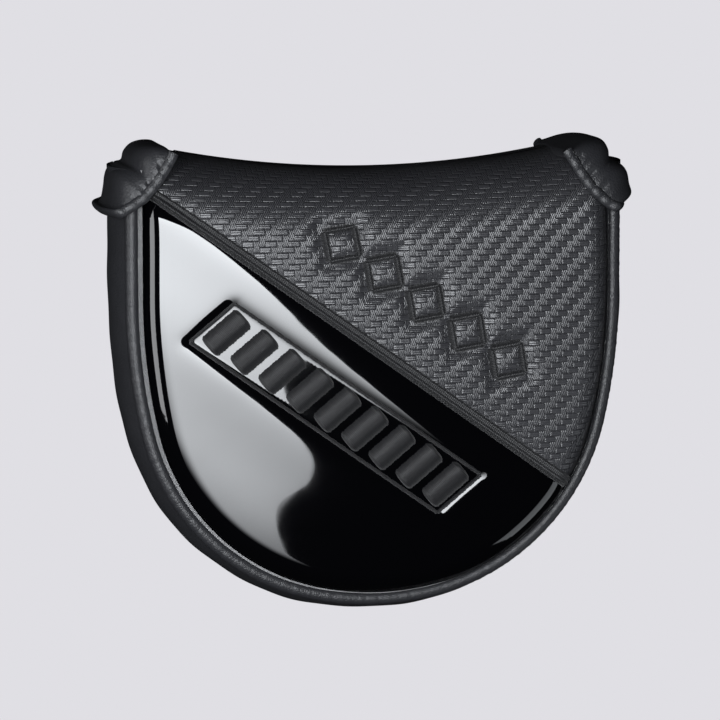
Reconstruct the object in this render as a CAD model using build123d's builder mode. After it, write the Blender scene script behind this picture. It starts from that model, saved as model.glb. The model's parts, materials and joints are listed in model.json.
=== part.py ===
"""Mallet putter head cover: a padded, lined pouch with a magnetic closing flap.

Frame: millimetres, +Z out of the decorated front, +Y out of the mouth, +X to the right as the front is
seen. The cover lies on its back, so z = 0 is the surface it rests on and the origin is below its middle.
Layers are solids offset from one another, so every sheet, foam and lining is a piece of its own.
"""

import math
import os

from build123d import *

os.makedirs("parts", exist_ok=True)

# ---------------------------------------------------------------- driving dimensions
HALF_WIDTH = 65.5  # widest half width, at the middle of the side wall
DEPTH = 41.2  # front face above the resting face
SIDE_START_Y = 21.4  # the straight sides end here
SIDE_RADIUS, SIDE_SPAN = 153.0, 12.8  # long side arcs and the degrees they turn
CORNER_RADIUS, CORNER_END = 60.4, 77.5  # lower corner arcs, and the angle at which they end
LEG_TOP_Y = 60.0  # outlines run up to here before they are trimmed to the mouth

PIPING_RADIUS, PIPING_CORD_RADIUS = 1.8, 1.1
PIPING_INSET = 4.3  # piping centre line, in from the widest outline
FRONT_PIPING_Z, BACK_PIPING_Z = 31.5, 5.6
PANEL_INSET = PIPING_INSET + PIPING_RADIUS  # front and back panels meet the piping here

WALL_LAYERS = {"skin": 1.1, "foam": 1.6, "lining": 1.3}  # side wall, from the outside in
WALL_BULGE = 3.0  # how far the side wall swells between its two pipings
FRONT_LAYERS = {"skin": 1.0, "foam": 3.0, "lining": 1.4}
FLAP_LAYERS = {"skin": 0.9, "foam": 1.5, "lining": 0.9}
FRONT_BASE_Z = 30.0  # lower edge of the front panel's rolled rim
RIM_RADIUS = 7.0
DOME_RADIUS = 543.0  # the front is gently domed

NOSE_FRONT_RADIUS, NOSE_BACK_RADIUS = 20.0, 12.0  # the flap rolls over the mouth in two quarter rounds
NOSE_TOP_Z = DEPTH + 0.6
NOSE_Y = 52.5  # top edge of the closed cover on the centre line
SADDLE_RADIUS = 250.0  # the top edge is a shallow hollow of this radius
FRONT_FOLD_Y, BACK_FOLD_Y = 43.0, 45.0  # the flap's two folds
FOLD_GAP = 0.2  # half the gap that is left open at a fold

FLAP_HALF_WIDTH = 47.6
TAB_HALF_WIDTH, TAB_TIP_Y, TAB_CORNER = 27.0, 8.0, 10.0
SHOULDER_Z = 21.0  # below this height the flap narrows to the tab and leaves the shaft gaps

HORN_X = 48.2  # the front panel's fixed corners start here
EAR_TOP, EAR_FOOT = (49.5, 57.0), (65.6, 42.3)  # ends of the right ear's hem
HEM_RADIUS = 37.0  # the hem is hollow towards the ear
EAR_SHOULDER, EAR_LOBE, EAR_NOTCH = (53.4, 59.3), (59.3, 59.2), (61.6, 54.6)
EAR_SIDE, EAR_HEEL = (65.9, 51.5), (66.9, 45.6)
NOTCH_RADIUS = 1.2
EAR_REACH = 15.0  # how far the ear's blank runs in under the pouch before it is trimmed to the hem
EAR_FRONT_Z, EAR_BACK_Z, EAR_CORNER = 38.2, 3.2, 4.6
EAR_RISE = 1.3  # an ear stands this far proud of the roll
EAR_LAYERS = {"cover": 1.3, "elastic": 0.8, "lining": 0.8}
EAR_HEM = 2.4  # width of the hem binding along the ear's seam
ELASTIC_INSET = 0.6

BACK_STEP_Y = 4.0  # padding ends here, and the tab lies in the step above it
BACK_UPPER_Z = 3.7  # outer face of the unpadded upper back
BACK_SKIN, BACK_INSIDE_Z, BACK_LINING = 0.9, 6.0, 1.2
BACK_RIM_RADIUS = 3.0
MOUTH_Y, MOUTH_RADIUS, MOUTH_BINDING = 38.0, 138.0, 2.0  # the back's mouth is a shallow hollow

MAGNET_RADIUS, MAGNET_X, MAGNET_Y = 6.0, 15.0, 22.0
POCKET_CLEARANCE = 0.2

SEAM_POINT, SEAM_ANGLE = (-2.0, 9.8), -35.5  # the diagonal seam passes through here at this angle
SEAM_WIDTH, SEAM_HEIGHT = 2.6, 0.7
STITCH_LENGTH, STITCH_GAP, STITCH_WIDTH, STITCH_HEIGHT = 2.2, 0.9, 0.5, 0.3

UPPER_MOTIF_OFFSET, LOWER_MOTIF_OFFSET = 16.3, 18.2  # from the seam to each motif's middle
UPPER_MOTIF_SHIFT, LOWER_MOTIF_SHIFT = 4.8, 1.7  # along the seam
DIAMOND_COUNT, DIAMOND_WIDTH, DIAMOND_HEIGHT, DIAMOND_LINE = 5, 13.0, 12.5, 1.5
BAR_COUNT, BAR_PITCH, BAR_WIDTH, BAR_HEIGHT, BAR_SLANT = 9, 8.5, 6.1, 11.5, 3.0
MOTIF_HEIGHT = 0.6


# ---------------------------------------------------------------- shared outlines
def on_circle(centre, radius, degrees):
    """The point of a circle at that angle."""
    turn = math.radians(degrees)
    return (centre[0] + radius * math.cos(turn), centre[1] + radius * math.sin(turn))


SIDE_CENTRE = (HALF_WIDTH - SIDE_RADIUS, SIDE_START_Y)
SIDE_FOOT = on_circle(SIDE_CENTRE, SIDE_RADIUS, -SIDE_SPAN)
CORNER_CENTRE = on_circle(SIDE_FOOT, -CORNER_RADIUS, -SIDE_SPAN)
CORNER_FOOT = on_circle(CORNER_CENTRE, CORNER_RADIUS, -CORNER_END)
BOTTOM_RADIUS = CORNER_FOOT[0] / math.cos(math.radians(CORNER_END))
BOTTOM_CENTRE = (0.0, CORNER_FOOT[1] + BOTTOM_RADIUS * math.sin(math.radians(CORNER_END)))


def wall_path(inset, z=0.0):
    """The U-shaped run of the side wall, drawn in by inset, from the right leg's top round to the left's."""
    x = HALF_WIDTH - inset
    sides = [
        (SIDE_CENTRE, SIDE_RADIUS, SIDE_SPAN, 0.0),
        (CORNER_CENTRE, CORNER_RADIUS, CORNER_END - SIDE_SPAN, SIDE_SPAN),
    ]
    with BuildLine(Plane.XY.offset(z)) as path:
        Line((x, LEG_TOP_Y), (x, SIDE_START_Y))
        for centre, radius, span, turned in sides:
            CenterArc(centre, radius - inset, -turned, -span)
        CenterArc(BOTTOM_CENTRE, BOTTOM_RADIUS - inset, -CORNER_END, 2 * CORNER_END - 180)
        for centre, radius, span, turned in reversed(sides):
            CenterArc((-centre[0], centre[1]), radius - inset, -180 + turned + span, -span)
        Line((-x, SIDE_START_Y), (-x, LEG_TOP_Y))
    return path.wires()[0]


def pouch_face(inset, top_y=LEG_TOP_Y):
    """The D-shaped outline drawn in by inset and closed by a straight edge at top_y."""
    with BuildSketch() as face:
        with BuildLine():
            add(wall_path(inset))
            x = HALF_WIDTH - inset
            Line((-x, LEG_TOP_Y), (x, LEG_TOP_Y))
        make_face()
        with Locations((0, top_y)):
            Rectangle(4 * HALF_WIDTH, 2 * LEG_TOP_Y, align=(Align.CENTER, Align.MIN), mode=Mode.SUBTRACT)
    return face.sketch


def on_hem(radius, share):
    """The point that share of the way along the right ear's hem, at a distance from the hollow's centre."""
    return on_circle(HEM_CENTRE, radius, HEM_START + share * HEM_SPAN)


HEM_CHORD = math.dist(EAR_TOP, EAR_FOOT)
HEM_LINE = ((EAR_FOOT[0] - EAR_TOP[0]) / HEM_CHORD, (EAR_FOOT[1] - EAR_TOP[1]) / HEM_CHORD)
HEM_OUTWARD = (-HEM_LINE[1], HEM_LINE[0])
HEM_DEPTH = math.sqrt(HEM_RADIUS**2 - HEM_CHORD**2 / 4)
HEM_CENTRE = (
    (EAR_TOP[0] + EAR_FOOT[0]) / 2 + HEM_DEPTH * HEM_OUTWARD[0],
    (EAR_TOP[1] + EAR_FOOT[1]) / 2 + HEM_DEPTH * HEM_OUTWARD[1],
)
HEM_START = math.degrees(math.atan2(EAR_TOP[1] - HEM_CENTRE[1], EAR_TOP[0] - HEM_CENTRE[0]))
HEM_SPAN = 2 * math.degrees(math.asin(HEM_CHORD / 2 / HEM_RADIUS))


def hem_discs():
    """Both discs that the ears' hems cut out of the pouch's upper corners."""
    with BuildSketch() as discs:
        with Locations(HEM_CENTRE, (-HEM_CENTRE[0], HEM_CENTRE[1])):
            Circle(HEM_RADIUS)
    return discs.sketch


def dome(grow):
    """The ball whose top is the domed front, grown outwards by grow."""
    with BuildPart() as ball:
        with Locations(Location((0, 0, DEPTH - DOME_RADIUS), (90, 0, 0))):
            Sphere(DOME_RADIUS + grow)
    return ball.part


def nose_body(grow, domed=True):
    """Everything behind the rolled mouth, grown outwards by grow."""
    high, low = NOSE_TOP_Z + grow, -grow
    front_y, back_y = NOSE_Y - NOSE_FRONT_RADIUS, NOSE_Y - NOSE_BACK_RADIUS
    front_z, back_z = NOSE_TOP_Z - NOSE_FRONT_RADIUS, NOSE_BACK_RADIUS
    hollow = Axis((0, NOSE_Y + SADDLE_RADIUS, 0), (0, 0, 1))
    with BuildPart() as half:
        with BuildSketch(Plane.YZ):
            with BuildLine():
                CenterArc((front_y, front_z), NOSE_FRONT_RADIUS + grow, 0, 90)
                CenterArc((back_y, back_z), NOSE_BACK_RADIUS + grow, 270, 90)
                Line((NOSE_Y + grow, front_z), (NOSE_Y + grow, back_z))
                Polyline((front_y, high), (-2 * LEG_TOP_Y, high), (-2 * LEG_TOP_Y, low), (back_y, low))
            make_face()
        revolve(axis=hollow, revolution_arc=30)
    with BuildPart() as whole:
        add(half.part)
        mirror(half.part, about=Plane.YZ)
        if domed:
            add(dome(grow), mode=Mode.INTERSECT)
    return whole.part


# ---------------------------------------------------------------- front panel
def front_body(grow):
    """The solid behind the padded front, grown outwards by grow: a rounded rim, and the roll at the mouth."""
    with BuildPart() as body:
        with BuildSketch(Plane.XY.offset(DEPTH / 2)):
            add(pouch_face(PANEL_INSET - grow))
        extrude(amount=DEPTH)
        add(dome(grow), mode=Mode.INTERSECT)
        top_edges = body.faces().sort_by(Axis.Z)[-1].edges()
        fillet(top_edges.filter_by(lambda edge: edge.center().Y < LEG_TOP_Y - 0.1), RIM_RADIUS + grow)
        add(nose_body(grow, domed=False), mode=Mode.INTERSECT)
    return body.part


def fixed_region():
    """Plan of what stays with the pouch: up to the fold, and the corners beside the flap up to the ears."""
    with BuildSketch() as region:
        with Locations((0, FRONT_FOLD_Y - FOLD_GAP)):
            Rectangle(4 * HALF_WIDTH, 3 * LEG_TOP_Y, align=(Align.CENTER, Align.MAX))
        for side in (-1, 1):
            with Locations((side * (HORN_X + HALF_WIDTH / 2), 0)):
                Rectangle(HALF_WIDTH, 4 * LEG_TOP_Y)
        add(hem_discs(), mode=Mode.SUBTRACT)
    return region.sketch


def seam_band(low, high):
    """Plan of everything between two distances above the diagonal seam."""
    with BuildSketch(Plane(origin=(*SEAM_POINT, 0), x_dir=Vector(1, 0, 0).rotate(Axis.Z, SEAM_ANGLE))) as band:
        with Locations((0, (low + high) / 2)):
            Rectangle(4 * HALF_WIDTH, high - low)
    return band.sketch


FAR = 2 * HALF_WIDTH  # further than anything on the front


def front_layer(outer, inner, plan=None):
    """The front's material between two offsets, trimmed to the fixed region and to a plan."""
    with BuildPart() as layer:
        add(front_body(outer))
        add(front_body(inner), mode=Mode.SUBTRACT)
        for sketch in (fixed_region(), plan):
            if sketch is not None:
                keep = extrude(sketch, amount=2 * DEPTH, mode=Mode.PRIVATE)
                add(keep, mode=Mode.INTERSECT)
        base_z = FRONT_PIPING_Z + PIPING_RADIUS if outer > 0 else FRONT_BASE_Z
        split(bisect_by=Plane.XY.offset(base_z), keep=Keep.TOP)
    return layer.part


skin, foam, lining = FRONT_LAYERS.values()

with BuildPart() as carbon_panel:
    add(front_layer(0, -skin, seam_band(0, FAR)))
carbon_panel.part.label = "front_carbon_panel"

with BuildPart() as patent_panel:
    add(front_layer(0, -skin, seam_band(-FAR, 0)))
patent_panel.part.label = "front_patent_panel"

with BuildPart() as diagonal_seam:
    add(front_layer(SEAM_HEIGHT, 0, seam_band(-SEAM_WIDTH / 2, SEAM_WIDTH / 2)))
diagonal_seam.part.label = "diagonal_satin_seam"

with BuildPart() as front_foam:
    add(front_layer(-skin, -skin - foam))
front_foam.part.label = "front_foam"

with BuildPart() as front_lining:
    add(front_layer(-skin - foam, -skin - foam - lining))
front_lining.part.label = "front_lining"


# ---------------------------------------------------------------- embroidery on the front
def seam_plane(along, above, z):
    """A plane on the front whose x runs along the diagonal seam, moved along and above it."""
    x_dir = Vector(1, 0, 0).rotate(Axis.Z, SEAM_ANGLE)
    y_dir = Vector(0, 1, 0).rotate(Axis.Z, SEAM_ANGLE)
    origin = Vector(*SEAM_POINT, z) + x_dir * along + y_dir * above
    return Plane(origin=origin, x_dir=x_dir)


def diamond(scale):
    """The corners of one diamond of the upper motif."""
    half_w, half_h = scale * DIAMOND_WIDTH / 2, scale * DIAMOND_HEIGHT / 2
    return (half_w, 0), (0, half_h), (-half_w, 0), (0, -half_h)


DIAMOND_APOTHEM = DIAMOND_WIDTH * DIAMOND_HEIGHT / math.hypot(DIAMOND_WIDTH, DIAMOND_HEIGHT) / 2

with BuildSketch(seam_plane(UPPER_MOTIF_SHIFT, UPPER_MOTIF_OFFSET, 0)) as diamond_row:
    for diamond_scale, diamond_mode in ((1.0, Mode.ADD), (1 - DIAMOND_LINE / DIAMOND_APOTHEM, Mode.SUBTRACT)):
        with GridLocations(DIAMOND_WIDTH, 1, DIAMOND_COUNT, 1):
            Polygon(*diamond(diamond_scale), mode=diamond_mode)

with BuildPart() as upper_motif:
    add(front_layer(MOTIF_HEIGHT, 0, diamond_row.sketch))
upper_motif.part.label = "upper_embroidery"

with BuildSketch(seam_plane(LOWER_MOTIF_SHIFT, -LOWER_MOTIF_OFFSET, 0)) as bar_row:
    half_bar, half_slant, top = BAR_WIDTH / 2, BAR_SLANT / 2, BAR_HEIGHT / 2
    with GridLocations(BAR_PITCH, 1, BAR_COUNT, 1):
        Polygon(
            (half_bar - half_slant, -top), (half_bar + half_slant, top),
            (half_slant - half_bar, top), (-half_slant - half_bar, -top),
        )

with BuildPart() as lower_motif:
    add(front_layer(MOTIF_HEIGHT, 0, bar_row.sketch))
lower_motif.part.label = "lower_embroidery"


# ---------------------------------------------------------------- side wall and pipings
def trim_to_ears(part):
    """Shortens the two legs of a U-shaped run to the ears' hems."""
    cutter = extrude(hem_discs(), amount=2 * DEPTH, both=True, mode=Mode.PRIVATE)
    with BuildPart() as trimmed:
        add(part)
        add(cutter, mode=Mode.SUBTRACT)
    return trimmed.part


def wall_layer(start, thickness):
    """One layer of the side wall, from start inwards, as a swollen strip between the pipings."""
    low, high = BACK_PIPING_Z + PIPING_RADIUS, FRONT_PIPING_Z - PIPING_RADIUS
    path = wall_path(0)
    with BuildPart() as layer:
        with BuildSketch(Plane(origin=path @ 0, x_dir=(1, 0, 0), z_dir=path % 0)):
            with BuildLine():
                out, back = -start, -start - thickness
                ThreePointArc((out - WALL_BULGE, low), (out, (low + high) / 2), (out - WALL_BULGE, high))
                Line((out - WALL_BULGE, high), (back - WALL_BULGE, high))
                ThreePointArc((back - WALL_BULGE, high), (back, (low + high) / 2), (back - WALL_BULGE, low))
                Line((back - WALL_BULGE, low), (out - WALL_BULGE, low))
            make_face()
        sweep(path=path)
    return trim_to_ears(layer.part)


def piping_layer(z, outer, inner=None):
    """A round cord, or a tube round one, along the seam at that height."""
    path = wall_path(PIPING_INSET, z)
    with BuildPart() as layer:
        with BuildSketch(Plane(origin=path @ 0, x_dir=(1, 0, 0), z_dir=path % 0)):
            Circle(outer)
            if inner is not None:
                Circle(inner, mode=Mode.SUBTRACT)
        sweep(path=path)
    return trim_to_ears(layer.part)


wall_parts = {}
depth_so_far = 0.0
for layer_name, layer_thickness in WALL_LAYERS.items():
    wall_parts[f"side_wall_{layer_name}"] = wall_layer(depth_so_far, layer_thickness)
    depth_so_far += layer_thickness

for side_name, piping_z in (("front", FRONT_PIPING_Z), ("back", BACK_PIPING_Z)):
    wall_parts[f"{side_name}_piping_cover"] = piping_layer(piping_z, PIPING_RADIUS, PIPING_CORD_RADIUS)
    wall_parts[f"{side_name}_piping_cord"] = piping_layer(piping_z, PIPING_CORD_RADIUS)

for node_name, wall_part in wall_parts.items():
    wall_part.label = node_name


# ---------------------------------------------------------------- back panel
def back_pad(shrink):
    """The padded lower back, drawn in by shrink on its outer faces."""
    with BuildPart() as pad:
        with BuildSketch(Plane.XY.offset(shrink)):
            add(pouch_face(PANEL_INSET + shrink, BACK_STEP_Y - shrink))
        extrude(amount=BACK_INSIDE_Z - shrink)
        fillet(pad.faces().sort_by(Axis.Z)[0].edges(), BACK_RIM_RADIUS - shrink)
    return pad.part


with BuildPart() as back_lower_panel:
    add(back_pad(0))
    add(back_pad(BACK_SKIN), mode=Mode.SUBTRACT)
back_lower_panel.part.label = "back_lower_panel"

with BuildPart() as back_lower_foam:
    add(back_pad(BACK_SKIN))
back_lower_foam.part.label = "back_lower_foam"


def back_face(mouth_radius):
    """Plan of the whole back up to a hollow mouth edge, between the ears."""
    with BuildSketch() as face:
        add(pouch_face(PANEL_INSET))
        with Locations((0, MOUTH_Y + MOUTH_RADIUS)):
            Circle(mouth_radius, mode=Mode.SUBTRACT)
        add(hem_discs(), mode=Mode.SUBTRACT)
    return face.sketch


def back_upper_face():
    """Plan of the unpadded upper back, from the step to the mouth."""
    with BuildSketch() as face:
        add(back_face(MOUTH_RADIUS))
        with Locations((0, BACK_STEP_Y)):
            Rectangle(4 * HALF_WIDTH, 3 * LEG_TOP_Y, align=(Align.CENTER, Align.MAX), mode=Mode.SUBTRACT)
    return face.sketch


MAGNET_PLACES = [(-MAGNET_X, MAGNET_Y), (MAGNET_X, MAGNET_Y)]

with BuildPart() as back_upper_panel:
    with BuildSketch(Plane.XY.offset(BACK_UPPER_Z)):
        add(back_upper_face())
    extrude(amount=BACK_SKIN)
back_upper_panel.part.label = "back_upper_panel"

with BuildPart() as back_upper_foam:
    with BuildSketch(Plane.XY.offset(BACK_UPPER_Z + BACK_SKIN)):
        add(back_upper_face())
        with Locations(*MAGNET_PLACES):
            Circle(MAGNET_RADIUS + POCKET_CLEARANCE, mode=Mode.SUBTRACT)
    extrude(amount=BACK_INSIDE_Z - BACK_UPPER_Z - BACK_SKIN)
back_upper_foam.part.label = "back_upper_foam"

with BuildPart() as back_magnets:
    with BuildSketch(Plane.XY.offset(BACK_UPPER_Z + BACK_SKIN)):
        with Locations(*MAGNET_PLACES):
            Circle(MAGNET_RADIUS)
    extrude(amount=BACK_INSIDE_Z - BACK_UPPER_Z - BACK_SKIN)
back_magnets.part.label = "back_magnets"

with BuildPart() as back_lining:
    with BuildSketch(Plane.XY.offset(BACK_INSIDE_Z)):
        add(back_face(MOUTH_RADIUS))
    extrude(amount=BACK_LINING)
back_lining.part.label = "back_lining"

with BuildPart() as mouth_binding:
    binding_height = BACK_INSIDE_Z + BACK_LINING - BACK_UPPER_Z
    with BuildSketch(Plane.XY.offset(BACK_UPPER_Z)):
        add(back_face(MOUTH_RADIUS - MOUTH_BINDING))
        add(back_face(MOUTH_RADIUS), mode=Mode.SUBTRACT)
    extrude(amount=binding_height)
    mouth_arcs = mouth_binding.edges().filter_by(GeomType.CIRCLE).filter_by(Plane.XY)
    inner_arcs = mouth_arcs.filter_by(lambda edge: abs(edge.radius - MOUTH_RADIUS + MOUTH_BINDING) < 0.01)
    fillet(inner_arcs, 0.45 * binding_height)
mouth_binding.part.label = "mouth_binding"


# ---------------------------------------------------------------- ears
def under_pouch(point):
    """A point of the right ear's hem, moved in under the pouch."""
    return (point[0] - EAR_REACH * HEM_OUTWARD[0], point[1] - EAR_REACH * HEM_OUTWARD[1])


def ear_blank(inset):
    """The right ear as a solid block that runs in under the pouch, drawn in by inset."""
    with BuildPart() as blank:
        with BuildSketch(Plane.XY.offset(EAR_BACK_Z + inset)) as plan:
            with BuildLine():
                Line(EAR_TOP, EAR_SHOULDER)
                ThreePointArc(EAR_SHOULDER, EAR_LOBE, EAR_NOTCH)
                ThreePointArc(EAR_NOTCH, EAR_SIDE, EAR_HEEL)
                Polyline(EAR_HEEL, EAR_FOOT, under_pouch(EAR_FOOT), under_pouch(EAR_TOP), EAR_TOP)
            make_face()
            fillet(plan.vertices().sort_by_distance((*EAR_NOTCH, EAR_BACK_Z + inset))[0], NOTCH_RADIUS)
            if inset:
                offset(amount=-inset, mode=Mode.REPLACE)
        extrude(amount=EAR_FRONT_Z - EAR_BACK_Z - 2 * inset)
        rims = blank.faces().filter_by(Axis.Z).edges()
        fillet(rims, EAR_CORNER - inset)
        add(nose_body(EAR_RISE - inset), mode=Mode.INTERSECT)
    return blank.part


def hem_ring(outer, inner=0.0):
    """Upright cutter between two distances from the centre of the right ear's hollow."""
    with BuildPart() as ring:
        with BuildSketch(Plane.XY.offset(-DEPTH)):
            with Locations(HEM_CENTRE):
                Circle(outer)
                if inner:
                    Circle(inner, mode=Mode.SUBTRACT)
        extrude(amount=3 * DEPTH)
    return ring.part


def ear_layer(outer, inner, room):
    """One layer of the right ear between two depths, kept inside a cutter."""
    with BuildPart() as layer:
        add(ear_blank(outer))
        add(ear_blank(inner), mode=Mode.SUBTRACT)
        add(room, mode=Mode.INTERSECT)
    return layer.part


def stitch_room():
    """Upright cutters for the stitches along the right ear's hem."""
    count = int(HEM_CHORD / (STITCH_LENGTH + STITCH_GAP))
    with BuildPart() as room:
        with BuildSketch(Plane.XY.offset(-DEPTH)):
            for index in range(count):
                share = (index + 0.5) / count
                with Locations(Location((*on_hem(HEM_RADIUS - EAR_HEM + STITCH_WIDTH, share), 0),
                                        (0, 0, HEM_START + share * HEM_SPAN))):
                    Rectangle(STITCH_WIDTH, STITCH_LENGTH)
        extrude(amount=3 * DEPTH)
    return room.part


cover, elastic, ear_inside = EAR_LAYERS.values()
ear_parts = {
    "ear_hem_binding": ear_layer(0, cover, hem_ring(HEM_RADIUS, HEM_RADIUS - EAR_HEM)),
    "ear_cover": ear_layer(0, cover, hem_ring(HEM_RADIUS - EAR_HEM)),
    "ear_elastic": ear_layer(cover, cover + elastic, hem_ring(HEM_RADIUS - ELASTIC_INSET)),
    "ear_lining": ear_layer(cover + elastic, cover + elastic + ear_inside, hem_ring(HEM_RADIUS)),
    "ear_stitches": ear_layer(-STITCH_HEIGHT, 0, stitch_room()),
}


# ---------------------------------------------------------------- closing flap
def flap_outline():
    """Plan of the flap and its tab: wide over the mouth, narrow on the back, with a rounded tip."""
    with BuildSketch() as outline:
        with Locations((0, TAB_TIP_Y)):
            Rectangle(2 * TAB_HALF_WIDTH, 2 * LEG_TOP_Y, align=(Align.CENTER, Align.MIN))
        fillet(outline.vertices().group_by(Axis.Y)[0], TAB_CORNER)
    return outline.sketch


def flap_front_view():
    """What the flap covers as seen from the mouth: full width above the shoulders, the tab's width below."""
    with BuildSketch(Plane.XZ) as view:
        with BuildLine():
            wide, narrow, foot = FLAP_HALF_WIDTH, TAB_HALF_WIDTH, -DEPTH
            Polyline((0, 2 * DEPTH), (wide, 2 * DEPTH), (wide, SHOULDER_Z))
            RadiusArc((wide, SHOULDER_Z), (narrow, BACK_UPPER_Z), SHOULDER_Z)
            Polyline((narrow, BACK_UPPER_Z), (narrow, foot), (0, foot), (0, 2 * DEPTH))
        make_face()
        mirror(about=Plane.YZ)
    return view.sketch


def behind_fold():
    """Side view of the flap's wall: everything past the two folds, across the flap's width."""
    with BuildPart() as region:
        with BuildSketch(Plane.YZ):
            front, back, middle = FRONT_FOLD_Y + FOLD_GAP, BACK_FOLD_Y + FOLD_GAP, DEPTH / 2
            Polygon(
                (front, 2 * DEPTH), (front, middle), (back, middle), (back, -DEPTH),
                (2 * LEG_TOP_Y, -DEPTH), (2 * LEG_TOP_Y, 2 * DEPTH), align=None,
            )
        extrude(amount=FLAP_HALF_WIDTH, both=True)
    return region.part


def flap_layer(outer, inner, tab):
    """The flap's material between two offsets: its wall over the mouth, or its tab on the back."""
    with BuildPart() as layer:
        add(nose_body(outer))
        add(nose_body(inner), mode=Mode.SUBTRACT)
        if tab:
            split(bisect_by=Plane.XZ.offset(FOLD_GAP - BACK_FOLD_Y), keep=Keep.TOP)
            split(bisect_by=Plane.XY.offset(DEPTH / 2), keep=Keep.BOTTOM)
            add(extrude(flap_outline(), amount=2 * DEPTH, both=True, mode=Mode.PRIVATE), mode=Mode.INTERSECT)
        else:
            add(behind_fold(), mode=Mode.INTERSECT)
            keep = extrude(flap_front_view(), amount=2 * LEG_TOP_Y, both=True, mode=Mode.PRIVATE)
            add(keep, mode=Mode.INTERSECT)
    return layer.part


flap_parts = {}
offset_so_far = 0.0
for layer_name, layer_thickness in FLAP_LAYERS.items():
    for place, is_tab in (("wall", False), ("tab", True)):
        flap_parts[f"flap_{place}_{layer_name}"] = flap_layer(
            offset_so_far, offset_so_far - layer_thickness, is_tab
        )
    offset_so_far -= layer_thickness

with BuildPart() as tab_magnets:
    with BuildSketch(Plane.XY.offset(FLAP_LAYERS["skin"])):
        with Locations(*MAGNET_PLACES):
            Circle(MAGNET_RADIUS)
    extrude(amount=FLAP_LAYERS["foam"])
tab_magnets.part.label = "tab_magnets"

with BuildPart() as tab_foam:
    add(flap_parts["flap_tab_foam"])
    with BuildSketch(Plane.XY):
        with Locations(*MAGNET_PLACES):
            Circle(MAGNET_RADIUS + POCKET_CLEARANCE)
    extrude(amount=DEPTH / 4, mode=Mode.SUBTRACT)
flap_parts["flap_tab_foam"] = tab_foam.part

for node_name, flap_part in flap_parts.items():
    flap_part.label = node_name


# ---------------------------------------------------------------- export
def export(part):
    """Writes one node to its own STEP file."""
    export_step(part, f"parts/{part.label}.step")


for builder in (
    carbon_panel, patent_panel, diagonal_seam, front_foam, front_lining, upper_motif, lower_motif,
    back_lower_panel, back_lower_foam, back_upper_panel, back_upper_foam, back_magnets, back_lining,
    mouth_binding, tab_magnets,
):
    export(builder.part)

for part in (*wall_parts.values(), *flap_parts.values()):
    export(part)

for base_name, right_part in ear_parts.items():
    for side_name, part in (("right", right_part), ("left", mirror(right_part, about=Plane.YZ))):
        part.label = f"{side_name}_{base_name}"
        export(part)
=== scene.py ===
"""Looks of the mallet putter head cover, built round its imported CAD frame.

Shapes are worked out in millimetres, and make_mesh turns them to metres. The front and the flap are one
surface: x runs across it, and v runs up the front, over the roll at the mouth and down the back.
"""

import json
import math

import bpy
import numpy as np
from mathutils import Matrix, Vector, geometry


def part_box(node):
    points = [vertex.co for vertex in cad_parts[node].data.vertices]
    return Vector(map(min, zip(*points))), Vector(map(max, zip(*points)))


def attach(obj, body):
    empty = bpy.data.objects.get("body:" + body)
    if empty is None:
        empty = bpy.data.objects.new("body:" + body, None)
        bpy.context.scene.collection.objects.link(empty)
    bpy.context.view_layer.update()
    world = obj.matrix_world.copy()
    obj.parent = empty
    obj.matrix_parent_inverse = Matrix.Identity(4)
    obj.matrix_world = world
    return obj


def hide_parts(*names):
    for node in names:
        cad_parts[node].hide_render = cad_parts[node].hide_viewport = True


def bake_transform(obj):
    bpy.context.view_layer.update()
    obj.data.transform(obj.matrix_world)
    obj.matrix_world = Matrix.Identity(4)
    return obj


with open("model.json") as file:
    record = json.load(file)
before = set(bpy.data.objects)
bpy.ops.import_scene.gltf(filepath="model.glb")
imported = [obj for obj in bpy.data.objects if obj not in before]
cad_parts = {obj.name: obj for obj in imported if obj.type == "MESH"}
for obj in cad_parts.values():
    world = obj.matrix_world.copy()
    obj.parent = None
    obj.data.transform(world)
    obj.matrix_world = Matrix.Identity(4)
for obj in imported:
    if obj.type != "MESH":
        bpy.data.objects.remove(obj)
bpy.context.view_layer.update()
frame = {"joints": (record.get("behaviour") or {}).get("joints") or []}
MM = 0.001


# ---------------------------------------------------------------- sizes, in millimetres
def node_box(node):
    """Lowest and highest corner of a CAD node, in millimetres."""
    return [np.array(corner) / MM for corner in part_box(node)]


HALF_WIDTH = node_box("side_wall_skin")[1][0]
FRONT_SKIN = 1.0
DEPTH = node_box("front_foam")[1][2] + FRONT_SKIN
PIPING_LOW, PIPING_HIGH = node_box("front_piping_cover")
BACK_PIPING_LOW, BACK_PIPING_HIGH = node_box("back_piping_cover")
PIPING_RADIUS = (PIPING_HIGH[2] - PIPING_LOW[2]) / 2
PIPING_INSET = HALF_WIDTH - PIPING_HIGH[0] + PIPING_RADIUS
FRONT_PIPING_Z = (PIPING_HIGH[2] + PIPING_LOW[2]) / 2
BACK_PIPING_Z = (BACK_PIPING_HIGH[2] + BACK_PIPING_LOW[2]) / 2
PANEL_INSET = PIPING_INSET + PIPING_RADIUS
TAB_HALF_WIDTH, TAB_TIP_Y = node_box("flap_tab_skin")[1][0], node_box("flap_tab_skin")[0][1]
FLAP_HALF_WIDTH = node_box("flap_wall_skin")[1][0]
NOSE_Y = 52.5
SADDLE_RADIUS = 250.0
DOME_RADIUS = 543.0
ROLL_FRONT, ROLL_BACK = 19.0, 12.0
FLAP_THICKNESS = 3.3
FOLD_Y = frame["joints"][0]["pos_m"][1] / MM
BACK_FOLD_Y = frame["joints"][1]["pos_m"][1] / MM

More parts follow.
